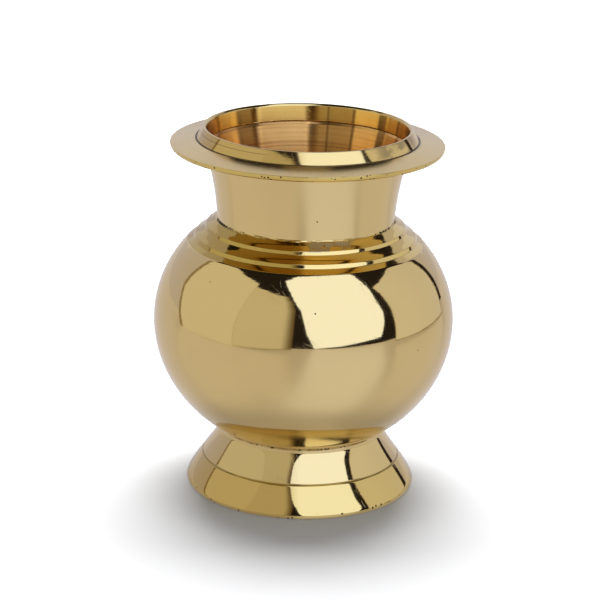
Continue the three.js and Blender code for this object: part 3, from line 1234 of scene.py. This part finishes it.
@dataclass
class MouthRing(TurnedPiece):
    """Lip and flange, turned as one ring."""

    node: str = "mouth_ring"
    flange_radius: float = 36.1
    overlap: float = 1.3
    edge_height: float = 1.5
    edge_undercut: float = 1.1
    flange_rise: float = 1.05
    cove_width: float = 0.45
    cove_depth: float = 0.15
    cove_floor: Pair = (0.7, 0.2)
    lip_foot_wall: float = 2.75
    lip_foot_height: float = 0.2
    lip_height: float = 3.15
    lip_bulge: float = 0.05
    land_width: float = 0.45
    round_width: float = 0.65
    chamfer: Pair = (0.4, 0.5)
    bore_bend: Pair = (0.25, 1.2)
    bore_inset: float = 0.5
    flange_rounds: tuple[float, ...] = (0.22, 0.12, 0.12, 0.12, 0.2)
    crown_rounds: tuple[float, ...] = (0.4, 0.4, 1.2)

    def outline(self) -> Outline:
        """Flange underside and edge, flange top, cove, lip, and the mouth's bore.

        Returns:
            The half section.
        """
        b = BELLY
        bore = b.mouth_radius + b.neck_wall + b.clearance
        under = b.neck_top - self.overlap
        edge_top = under + self.edge_height
        top = edge_top + self.flange_rise
        crest = top + self.lip_height
        foot = b.mouth_radius + self.lip_foot_wall
        inner_round = b.mouth_radius + self.round_width
        edge_centre = (self.flange_radius - self.edge_undercut, edge_top)
        edge = ellipse_arc(
            edge_centre, (self.edge_undercut, self.edge_height), (-math.pi / 2, 0.0), 12
        )
        land = (inner_round + self.land_width, crest)
        lip_foot = (foot, top + self.lip_foot_height)
        middle = ((foot + land[0]) / 2, (lip_foot[1] + crest) / 2)
        face = bezier(
            lip_foot, (middle[0] + self.lip_bulge, middle[1] + self.lip_bulge / 2), land, 16
        )
        hollow = top - self.cove_depth
        cove = [(foot + self.cove_width * share, hollow) for share in self.cove_floor]
        flange = rounded(
            corners(
                edge[-3],
                (self.flange_radius, edge_top),
                (foot + self.cove_width, top),
                *cove,
                lip_foot,
                face[1],
            ),
            self.flange_rounds,
        )
        chamfer = (inner_round - self.chamfer[0], crest - self.chamfer[1])
        bend = (chamfer[0] - self.bore_bend[0], chamfer[1] - self.bore_bend[1])
        lip = bezier(chamfer, bend, (b.mouth_radius - self.bore_inset, b.neck_top), 14)
        crown = rounded(
            corners(face[-2], land, (inner_round, crest), chamfer, lip[2]), self.crown_rounds
        )
        edge_round, flange_top, cove_line, face_start = np.split(
            flange[1:-1], [ARC, ARC + 2, 4 * ARC + 2]
        )
        face_end, crest_round, bore_start = np.split(crown[1:], [2, 3 * ARC - 1])
        return Outline(
            [
                Stretch(corners((bore, under), edge[0]), Finish.UNDERSIDE),
                Stretch(edge[1:-3], Finish.EDGE, edge=1.0),
                Stretch(edge_round, Finish.EDGE, edge=0.6),
                Stretch(flange_top, Finish.FLANGE),
                Stretch(cove_line, Finish.COVE),
                Stretch(np.vstack([face_start, face[2:-2], face_end]), Finish.LIP),
                Stretch(crest_round, Finish.CREST),
                Stretch(np.vstack([bore_start, lip[3:]]), Finish.LIP_BORE),
                Stretch(corners((bore, b.neck_top)), Finish.BORE),
            ],
            start_along=90.0,
        )


@dataclass
class Foot(TurnedPiece):
    """Hollow flared foot with one turned groove."""

    node: str = "foot"
    radius: float = 30.75
    edge_height: float = 1.0
    edge_inset: float = 0.55
    rim_width: float = 2.0
    wall: float = 2.0
    bore_depth: float = 1.8
    groove_radius: float = 26.5
    groove_height: float = 7.9
    groove_width: float = 0.55
    groove_depth: float = 0.18
    lower_bend: Pair = (30.3, 2.6)
    collar_bend: float = 1.9
    collar_height: float = 0.9
    groove_rounds: tuple[float, ...] = (0.9, 0.08, 0.2)
    collar_rounds: tuple[float, ...] = (0.12,)

    def outline(self) -> Outline:
        """Rim, rolled edge, bulging lower cone, groove, flared upper cone, and the hollow inside.

        Returns:
            The half section.
        """
        top, top_radius = BELLY.foot_height, BELLY.foot_top_radius
        bore = top_radius - BELLY.foot_top_wall
        edge_centre = (self.radius - self.edge_inset, self.edge_height)
        edge = ellipse_arc(
            edge_centre, (self.edge_inset, self.edge_height), (-math.pi / 2, 0.0), 10
        )
        middle = np.array([self.groove_radius, self.groove_height])
        edge_top = np.array([self.radius, self.edge_height])
        half = (edge_top - middle) / (middle[1] - edge_top[1]) * (self.groove_width / 2)
        lower = bezier(edge_top, self.lower_bend, middle + half, 16)
        upper_end = (top_radius, top - self.collar_height)
        upper = bezier(middle - half, (top_radius, top - self.collar_bend), upper_end, 22)
        dip = middle - (self.groove_depth, 0.0)
        dipped = rounded(corners(lower[-3], lower[-1], dip, upper[0], upper[2]), self.groove_rounds)
        cone_end, groove, cone_start = np.split(dipped[1:-1], [ARC - 1, 2 * ARC + 1])
        collar = rounded(corners(upper[-2], (top_radius, top), (bore, top)), self.collar_rounds)
        inside = corners(
            (bore, top - self.bore_depth),
            (self.groove_radius - self.wall, self.groove_height),
            (edge_centre[0] - self.rim_width, 0.0),
        )
        return Outline(
            [
                Stretch(np.vstack([edge, lower[1:3]]), Finish.FLARE, edge=1.0),
                Stretch(np.vstack([lower[3:-2], cone_end]), Finish.FLARE),
                Stretch(groove, Finish.GROOVE),
                Stretch(np.vstack([cone_start, upper[2:-2], collar]), Finish.COLLAR),
                Stretch(inside, Finish.HOLLOW),
            ],
            start_along=-80.0,
        )


@dataclass
class BrazeRing(TurnedPiece):
    """Ring of filler in a seam, uneven round the pot.

    Attributes:
        finish: Its finish.
        shape: Corners of its section as seen from the seam, with the exposed one first.
        rounding: Radius of the corners.
        waves: Number of harmonics in its unevenness.
        swing: Size of the unevenness.
        seed: Seed of the harmonics' phases.
    """

    slot: str = "braze_filler"
    finish: Finish = Finish.FILLER
    shape: tuple[Pair, ...] = ()
    rounding: float = 0.15
    waves: int = 40
    swing: float = 0.1
    seed: int = 1

    def seam(self) -> Pair:
        """Radius and height of the seam."""
        raise NotImplementedError

    def section(self) -> Points:
        """Corners of the ring's section: the seam plus the shape."""
        return np.array(self.seam()) + self.shape

    def outline(self) -> Outline:
        """The section with softly rounded corners, from the middle of its last side.

        Returns:
            The closed outline.
        """
        section = self.section()
        middle = (section[:1] + section[-1:]) / 2
        rounds = [self.rounding] * len(section)
        line = rounded(np.vstack([middle, section, middle]), rounds, ROUND_STEPS - 1)
        return Outline([Stretch(line[:-1], self.finish)])

    def ripple(self) -> Ripple:
        """Unevenness: harmonics of the angle with random phases, strongest on the exposed corner.

        Returns:
            A function from angles and outline points to the change of radius and of height.
        """
        draw = np.random.default_rng(self.seed)
        orders = np.arange(2, self.waves + 2)[:, None]
        phases = draw.uniform(0.0, 2 * math.pi, self.waves)[:, None]
        sizes = draw.uniform(0.4, 1.0, self.waves)[:, None]
        section = self.section()
        exposed, far = section[0], np.linalg.norm(section - section[0], axis=1).max()

        def change(angle: np.ndarray, rows: Points) -> tuple[np.ndarray, np.ndarray]:
            """Sums the harmonics, and fades them with the distance from the exposed corner.

            Args:
                angle: The angles round the pot.
                rows: The outline's points.

            Returns:
                Change of radius and of height on the grid.
            """
            sway = (sizes * np.cos(orders * angle + phases)).sum(axis=0)
            sway = sway / sway.std()
            near = np.clip(1 - np.linalg.norm(rows - exposed, axis=1) / far, 0.0, 1.0)[:, None]
            return self.swing * near * sway, 0.4 * self.swing * near * np.roll(sway, 31)

        return change


@dataclass
class MouthBraze(BrazeRing):
    """Small bead of filler in the bevel inside the mouth, just proud of the bore."""

    node: str = "mouth_braze"
    finish: Finish = Finish.MOUTH_SEAM
    shape: tuple[Pair, ...] = ((-0.03, -0.22), (0.0, -0.46), (0.4, -0.03), (0.0, 0.02))
    swing: float = 0.05
    seed: int = 3

    def seam(self) -> Pair:
        """The neck's upper inner edge."""
        return BELLY.mouth_radius, BELLY.neck_top


@dataclass
class NeckBraze(BrazeRing):
    """Low fillet of filler between the neck's base and its seat."""

    node: str = "neck_braze"
    finish: Finish = Finish.NECK_SEAM
    shape: tuple[Pair, ...] = ((0.2, 0.18), (-0.02, 0.55), (-0.02, -0.02), (0.5, -0.04))
    swing: float = 0.07
    seed: int = 8

    def seam(self) -> Pair:
        """The neck's lower outer edge."""
        return BELLY.neck_base_radius, BELLY.seat_height


@dataclass
class BellyBraze(BrazeRing):
    """Low bead of filler inside the belly, over the end of the lap."""

    node: str = "belly_braze"
    shape: tuple[Pair, ...] = ((-0.5, 0.0), (0.02, -1.05), (0.02, 1.05))
    reach: float = 1.0
    seed: int = 5

    def seam(self) -> Pair:
        """The wall at the bead's upper end, at the lap's height.

        Returns:
            Radius and height.
        """
        b = BELLY
        rise = math.asin((b.lap_height + self.reach) / (b.rise - b.wall))
        return (b.radius - b.wall) * math.cos(rise), b.centre + b.lap_height


@dataclass
class FootBraze(BrazeRing):
    """Thin line of filler in the corner between the belly and the foot's collar."""

    node: str = "foot_braze"
    finish: Finish = Finish.FOOT_SEAM
    shape: tuple[Pair, ...] = ((0.16, -0.06), (0.0, 0.02), (0.0, -0.4))
    overlap: float = 0.02
    swing: float = 0.06
    seed: int = 11

    def seam(self) -> Pair:
        """The collar's upper edge."""
        return BELLY.foot_top_radius - self.overlap, BELLY.foot_height

    def section(self) -> Points:
        """A small wedge, with its exposed corner just under the belly's curve.

        Returns:
            Radius and height of its corners.
        """
        wedge = super().section()
        under = BELLY.centre - ellipse_height(wedge[0, 0], BELLY.radius, BELLY.drop)
        wedge[0, 1] = under + self.shape[0][1]
        return wedge


# The studio


@dataclass(frozen=True)
class Card:
    """A card of the studio that only the metal reflects, as seen from the pot.

    The card is a ruled surface on a sphere round the pot. Each station is a left and a right end,
    as azimuth and elevation in degrees, and the points between two ends, and between two stations,
    are even shares of the way. Azimuth 0 is towards the camera and rises to the right.

    Attributes:
        name: The card's name.
        distance: Radius of the sphere, in metres.
        colour: Its brightness in red, green and blue.
        stations: Left and right ends, from the bottom up.
        far_colour: Its brightness at the right end, or None where it is even.
        far_from: Share of the way at which the right end's colour begins to come in.
        margins: Width of the brown edging at the left, the right and the bottom, in degrees.
        columns: Points between the left and the right end.
        rows: Rows of faces between two stations.
    """

    name: str
    distance: float
    colour: Colour
    stations: tuple[tuple[Pair, Pair], ...]
    far_colour: Colour | None = None
    far_from: float = 0.6
    margins: Triple | None = None
    columns: int = 25
    rows: int = 8

    def edging(self) -> "Card":
        """A slightly larger brown card just behind this one.

        Returns:
            The edging's card.
        """
        left, right, under = self.margins
        wider = [((a - left, b), (c + right, d)) for (a, b), (c, d) in self.stations]
        (a, b), (c, d) = wider[0]
        wider[0] = ((a, b - under), (c, d - under))
        return Card(self.name + "_edging", self.distance + 0.005, EDGING_COLOUR, tuple(wider))

    def build(self) -> bpy.types.Object:
        """Makes the card's grid and its plain bright material.

        Returns:
            The card's object, hidden from the camera, from diffuse light and from shadows.
        """
        ends = np.radians(np.array(self.stations, float))
        share = np.linspace(0.0, 1.0, self.columns)
        steps = np.linspace(0, len(ends) - 1, (len(ends) - 1) * self.rows + 1)
        below = np.minimum(steps.astype(int), len(ends) - 2)
        part = (steps - below)[:, None, None]
        level = ends[below] * (1 - part) + ends[below + 1] * part
        grid = level[:, :1] * (1 - share[None, :, None]) + level[:, 1:] * share[None, :, None]
        azimuth, elevation = grid[..., 0], grid[..., 1]
        height = self.distance * np.sin(elevation) + BELLY.centre * MM
        points = around(self.distance * np.cos(elevation), height, azimuth)
        index = np.arange(len(points)).reshape(azimuth.shape)
        quads = [index[:-1, :-1], index[1:, :-1], index[1:, 1:], index[:-1, 1:]]
        faces = np.stack(quads, axis=2).reshape(-1, 4).tolist()
        card = add_mesh(self.name, points, faces, [self._material()])
        set_attribute(card.data, ACROSS, np.tile(share, len(level)))
        card.visible_camera = card.visible_diffuse = card.visible_shadow = False
        LOG.info("card %s", card.name)
        return card

    def _material(self) -> bpy.types.Material:
        """An even glow, or one that changes towards the right end.

        Returns:
            The card's material.
        """
        material = bpy.data.materials.new(self.name)
        graph = Graph(material)
        colour: Any = self.colour
        if self.far_colour is not None:
            change = graph.attribute(ACROSS, "Fac").ramp(self.far_from, 1.0)
            colour = graph.mix(change, self.colour, self.far_colour)
        graph.surface(graph.glow(colour))
        return material


EDGING_COLOUR = (0.32, 0.25, 0.15)
CARDS = (
    Card(
        "left_board",
        0.42,
        (0.755, 0.75, 0.70),
        (
            ((-98.0, -6.2), (-51.5, -6.0)),
            ((-103.0, 0.0), (-51.8, 0.0)),
            ((-107.5, 8.0), (-52.0, 8.0)),
            ((-111.5, 14.0), (-52.0, 14.0)),
            ((-111.5, 21.0), (-51.5, 21.0)),
            ((-109.0, 37.0), (-50.0, 37.0)),
            ((-104.0, 50.0), (-48.5, 50.0)),
        ),
        margins=(3.0, 0.15, 1.1),
    ),
    Card(
        "left_inner_board",
        0.43,
        (0.69, 0.675, 0.60),
        (
            ((-52.5, -5.8), (-8.0, -2.0)),
            ((-52.5, 10.0), (-7.0, 12.0)),
            ((-52.5, 25.0), (-6.5, 33.0)),
            ((-51.5, 38.0), (-9.0, 40.0)),
            ((-49.0, 47.0), (-14.0, 45.0)),
        ),
        far_colour=(0.16, 0.12, 0.07),
        far_from=0.8,
        margins=(0.0, 0.0, 0.7),
    ),
    Card(
        "softbox",
        1.15,
        (1.29, 1.47, 2.0),
        (
            ((8.5, -1.5), (60.0, 2.5)),
            ((3.0, 12.0), (65.0, 14.0)),
            ((1.0, 22.0), (67.0, 22.0)),
            ((-2.0, 34.0), (66.0, 32.0)),
            ((-8.0, 42.0), (67.5, 42.0)),
            ((-14.0, 50.0), (66.5, 50.0)),
            ((-24.5, 60.0), (65.5, 59.0)),
            ((-10.0, 65.5), (60.0, 62.5)),
            ((14.0, 67.0), (40.0, 66.0)),
        ),
    ),
    Card(
        "right_board",
        0.42,
        (0.79, 0.79, 0.83),
        (
            ((70.5, -3.2), (126.5, -5.5)),
            ((72.0, 10.0), (128.3, 6.0)),
            ((73.0, 22.0), (127.5, 15.0)),
            ((71.5, 35.0), (124.0, 26.0)),
            ((69.0, 41.0), (112.0, 43.0)),
        ),
        far_colour=(0.73, 0.73, 0.77),
        far_from=0.1,
        margins=(0.4, 0.6, 0.7),
    ),
    Card(
        "back_wall",
        0.9,
        (0.72, 0.74, 0.90),
        (
            ((145.0, 10.0), (215.0, 10.0)),
            ((145.0, 30.0), (215.0, 30.0)),
            ((150.0, 50.0), (210.0, 50.0)),
        ),
    ),
    Card(
        "dark_room",
        1.2,
        (0.02, 0.016, 0.017),
        (
            ((-102.0, -1.6), (135.0, -2.15)),
            ((-109.0, 8.0), (136.0, 6.0)),
            ((-113.0, 14.0), (134.5, 14.0)),
            ((-113.0, 21.0), (131.0, 23.0)),
            ((-110.0, 40.0), (124.0, 32.0)),
            ((-180.0, 58.0), (180.0, 58.0)),
            ((-180.0, 78.0), (180.0, 78.0)),
        ),
    ),
    Card(
        "ceiling",
        1.2,
        (0.32, 0.33, 0.46),
        (((-180.0, 78.0), (180.0, 78.0)), ((-180.0, 89.9), (180.0, 89.9))),
    ),
)


@dataclass
class Studio:
    """Floor, surroundings, lamp, cards and camera. Lengths are in metres.

    Attributes:
        pale: Colour that the metal sees in the surroundings.
        diffuse: Colour of the light that the surroundings give.
        table: Colour that the metal sees in the floor.
        table_shade: Brightness of that colour close to the pot, as a share.
        table_near: Radii between which it gets darker.
        matt: The floor's own colour.
        sheen: Colour and roughness of the floor's gloss, as seen in the metal.
        fade: Radii between which the shadow gives way to plain white.
        rings: Radius of the floor's first ring, of its last one, and their number.
        gap: Depth of the floor under the pot.
        lamp_size: Width and depth of the lamp.
        lamp_power: Its power, in watts.
        lamp_tilt: Its angle behind the vertical, in degrees, at 1 metre from the pot.
        camera_height: Height of the camera.
        camera_distance: Its distance in front of the pot's axis.
        target: Point that the camera looks at.
        roll: Turn of the camera about its line of sight, in degrees.
        focal: Focal length in pixels of a picture of the given width.
        picture: Width of the picture in pixels.
        sensor: Width of the camera's sensor, in millimetres.
    """

    pale: Colour = (0.595, 0.585, 0.70)
    diffuse: Colour = (0.6, 0.6, 0.6)
    table: Colour = (0.55, 0.53, 0.56)
    table_shade: float = 0.68
    table_near: Pair = (0.055, 0.028)
    matt: Colour = (0.45, 0.453, 0.462)
    sheen: tuple[Colour, float] = ((0.24, 0.24, 0.24), 0.32)
    fade: Pair = (0.25, 0.7)
    rings: tuple[float, float, int] = (0.05, 6.0, 16)
    gap: float = 0.00002
    lamp_size: Pair = (0.75, 0.5)
    lamp_power: float = 29.0
    lamp_tilt: float = 20.0
    camera_height: float = 0.2504
    camera_distance: float = 0.6292
    target: Triple = (-0.00102, 0.0, 0.05054)
    roll: float = 1.41
    focal: float = 2468.96
    picture: int = 600
    sensor: float = 36.0

    def build(self) -> None:
        """Makes everything round the pot."""
        self._floor()
        self._surroundings()
        self._lamp()
        for card in CARDS:
            card.build()
            if card.margins:
                card.edging().build()
        self._camera()
        bpy.context.scene.view_settings.view_transform = "Standard"

    def _floor(self) -> None:
        """A wide disc: rings of even angles, each farther out than the last by the same factor."""
        radius = np.concatenate([[0.0], np.geomspace(*self.rings)])[:, None]
        angle = np.linspace(0.0, 2 * math.pi, FACETS // 3, endpoint=False)[None, :]
        height = np.full((radius.size, angle.size), -self.gap)
        index = np.arange(height.size).reshape(height.shape)
        faces = ring_faces(index[1:], index[:-1])
        floor = add_mesh("floor", around(radius, height, angle), faces, [self._floor_material()])

    def _floor_material(self) -> bpy.types.Material:
        """Pale matt floor: white with the shadow for the camera, a little darker for the metal.

        Returns:
            The floor's material.
        """
        material = bpy.data.materials.new("floor")
        graph = Graph(material)
        _, radius = graph.polar(graph.place())
        white = graph.mix(radius.ramp(*self.fade), (0.02, 0.02, 0.02), (1.0, 1.0, 1.0))
        matt = graph.node("ShaderNodeBsdfDiffuse", {}, {"Color": self.matt})
        seen = graph.both(matt, graph.glow(white, graph.ray("Is Camera Ray")))
        colour, roughness = self.sheen
        sheen = graph.node("ShaderNodeBsdfGlossy", {}, {"Color": colour, "Roughness": roughness})
        # The floor glow that the metal mirrors is darker near the pot: a painted shadow
        near = tuple(self.table_shade * part for part in self.table)
        tone = graph.mix(radius.ramp(*self.table_near), self.table, near)
        mirrored = graph.both(graph.glow(tone), sheen)
        sides = {0: graph.ray("Is Glossy Ray"), 1: seen, 2: mirrored}
        graph.surface(graph.node("ShaderNodeMixShader", {}, sides))
        return material

    def _surroundings(self) -> None:
        """White for the camera, pale for the metal, and dimmer as light on the floor."""
        world = bpy.data.worlds.new("studio")
        graph = Graph(world)
        bpy.context.scene.world = world
        bent = graph.ray("Is Glossy Ray") + graph.ray("Is Transmission Ray")
        colour = graph.mix(bent, self.diffuse, self.pale)
        colour = graph.mix(graph.ray("Is Camera Ray"), colour, (1.0, 1.0, 1.0))
        back = graph.node("ShaderNodeBackground", {}, {"Color": colour, "Strength": 1.0})
        graph.surface(back, "ShaderNodeOutputWorld")

    def _lamp(self) -> None:
        """One large soft lamp above and a little behind the pot, which the metal doesn't mirror."""
        lamp = bpy.data.lights.new("overhead", "AREA")
        lamp.shape = "RECTANGLE"
        lamp.size, lamp.size_y = self.lamp_size
        lamp.energy = self.lamp_power
        holder = add_object("overhead", lamp)
        tilt = math.radians(self.lamp_tilt)
        holder.location = (0.0, math.sin(tilt), math.cos(tilt))
        holder.rotation_euler = (-tilt, 0.0, 0.0)
        holder.visible_camera = holder.visible_glossy = False

    def _camera(self) -> None:
        """The photograph's view: the camera's axes from its place, its target and its roll."""
        data = bpy.data.cameras.new("camera")
        data.sensor_width = self.sensor
        data.lens = self.focal / self.picture * self.sensor
        data.clip_start, data.clip_end = 0.01, 50.0
        place = np.array([0.0, -self.camera_distance, self.camera_height])
        ahead = np.array(self.target) - place
        ahead /= np.linalg.norm(ahead)
        right = np.cross(ahead, (0.0, 0.0, 1.0))
        right /= np.linalg.norm(right)
        up = np.cross(right, ahead)
        cosine, sine = math.cos(math.radians(self.roll)), math.sin(math.radians(self.roll))
        axes = [right * cosine + up * sine, up * cosine - right * sine, -ahead, place]
        camera = add_object("camera", data)
        camera.matrix_world = Matrix(np.vstack([np.column_stack(axes), (0, 0, 0, 1)]).tolist())
        bpy.context.scene.camera = camera


@dataclass
class Kalash:
    """The whole pot, from the foot up."""

    pieces: tuple[TurnedPiece, ...] = (
        Foot(),
        FootBraze(),
        Bowl(),
        BellyBraze(),
        Shoulder(),
        NeckBraze(),
        NeckTube(),
        MouthBraze(),
        MouthRing(),
    )

    def build(self) -> None:
        """Makes the finishes and then each piece."""
        materials = {finish: recipe.build(finish.value) for finish, recipe in FINISHES.items()}
        for piece in self.pieces:
            piece.build(materials)


def main() -> None:
    """Builds the pot and the studio."""
    logging.basicConfig(level=logging.INFO, format="%(name)s: %(message)s")
    Kalash().build()
    Studio().build()


if __name__ == "__main__":
    main()
